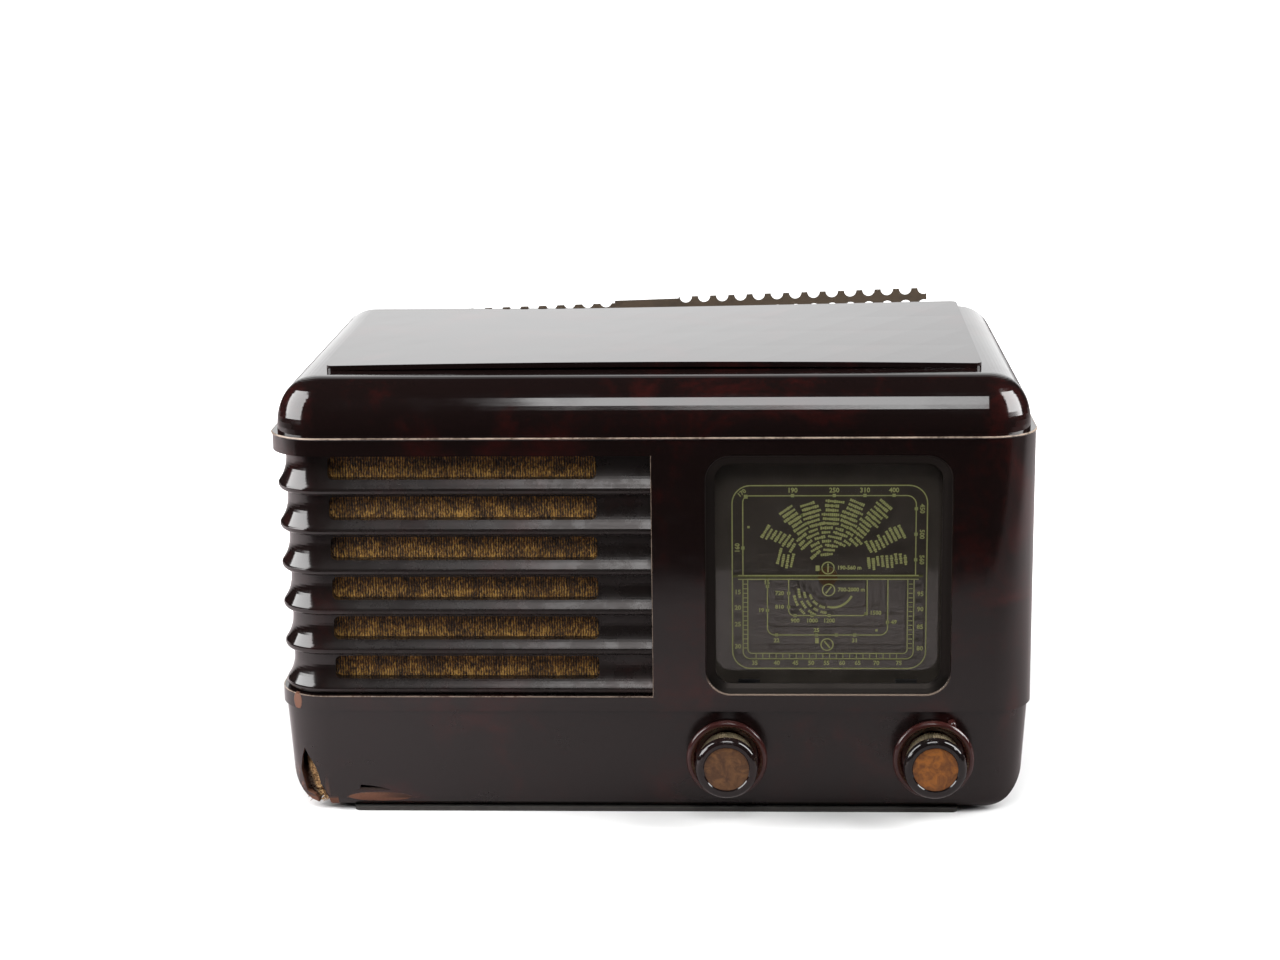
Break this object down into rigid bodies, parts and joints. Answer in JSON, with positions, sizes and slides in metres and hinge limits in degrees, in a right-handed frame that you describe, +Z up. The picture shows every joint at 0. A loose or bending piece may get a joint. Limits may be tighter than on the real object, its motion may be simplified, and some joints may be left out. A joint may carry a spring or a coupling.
{
  "type": "radio receiver",
  "caption": "Table radio receiver in a dark moulded cabinet with a louvred loudspeaker bay, a printed scale behind glass, concentric knobs and a chassis with its tuning condenser.",
  "frame": {"origin": "on the table, under the middle of the whole receiver", "axes": "+X to the right seen from the front, +Y towards the back, +Z up"},
  "size_m": [0.355, 0.2318, 0.2164],
  "materials": {
    "bakelite": "glossy, mottled, worn at the edges",
    "oxblood": "glossy dark red",
    "fibre": "pressed fibre board, dusty",
    "amber": "translucent amber, dulled",
    "brass": "dull",
    "steel": "plated, dulled",
    "aluminium": "satin",
    "black_steel": "black enamel",
    "rubber": "matt",
    "glass": "clear",
    "cloth": "coarse woven",
    "paper": "black paper cone",
    "board": "plywood",
    "laminate": "resin-bonded paper",
    "moulded": "moulded",
    "copper": "enamelled copper wire",
    "cord": "braided cord",
    "metal_paint": "red metallised coating"
  },
  "bodies": {
    "cabinet": {"cabinet": "bakelite", "top_plate": "bakelite", "back_cover": "fibre", "back_strip": "fibre", "back_screws": "steel", "feet": "rubber", "scale_glass": "glass", "glass_clips": "steel", "scale_pan": "black_steel", "condenser_frame": "steel", "condenser_stator": "aluminium", "drive_cord": "cord", "waveband_switch": "laminate", "tone_control": "laminate", "volume_control": "laminate", "chassis": "steel", "chassis_bolts": "steel", "spindle_bushes": "brass", "spindle_bracket": "steel", "speaker_cloth": "cloth", "speaker_board": "board", "speaker_frame": "black_steel", "speaker_cone": "paper", "speaker_magnet": "steel", "speaker_bolts": "steel", "output_transformer": "black_steel", "mains_transformer": "black_steel", "transformer_windings": "copper", "smoothing_condenser": "aluminium", "valve_sockets": "moulded", "mixer_valve": "metal_paint", "amplifier_valve": "metal_paint", "output_valve": "glass", "rectifier_valve": "glass", "first_coil_can": "aluminium", "second_coil_can": "aluminium", "aerial_coil": "copper", "socket_panel": "laminate", "sockets": "brass", "scale_lamps": "brass", "lead_grommet": "rubber"},
    "condenser": {"condenser_rotor": "aluminium", "drive_drum": "aluminium", "pointer": "brass"},
    "tuning": {"tuning_spindle": "steel", "tuning_knob": "bakelite", "tuning_grip": "brass", "tuning_disc": "amber"},
    "waveband": {"waveband_ring": "oxblood", "waveband_sleeve": "steel"},
    "volume": {"volume_spindle": "steel", "volume_knob": "bakelite", "volume_grip": "brass", "volume_disc": "amber"},
    "tone": {"tone_ring": "oxblood", "tone_sleeve": "steel"}
  },
  "joints": [
    {"name": "condenser_turn", "type": "hinge", "parent": "cabinet", "child": "condenser", "pos_m": [0.0812, 0, 0.1133], "axis": [0, 1, 0], "range_deg": [0, 180]},
    {"name": "tuning_turn", "type": "hinge", "parent": "cabinet", "child": "tuning", "pos_m": [0.13, 0, 0.0298], "axis": [0, 1, 0], "range_deg": [0, 1301]},
    {"name": "waveband_turn", "type": "hinge", "parent": "cabinet", "child": "waveband", "pos_m": [0.13, 0, 0.0298], "axis": [0, 1, 0], "range_deg": [-68, 0]},
    {"name": "volume_turn", "type": "hinge", "parent": "cabinet", "child": "volume", "pos_m": [0.0343, 0, 0.0298], "axis": [0, 1, 0], "range_deg": [0, 280]},
    {"name": "tone_turn", "type": "hinge", "parent": "cabinet", "child": "tone", "pos_m": [0.0343, 0, 0.0298], "axis": [0, 1, 0], "range_deg": [-135, 135]}
  ],
  "couplings": [
    {"joint": "tuning_turn", "follows": "condenser_turn", "ratio": 7.227}
  ]
}
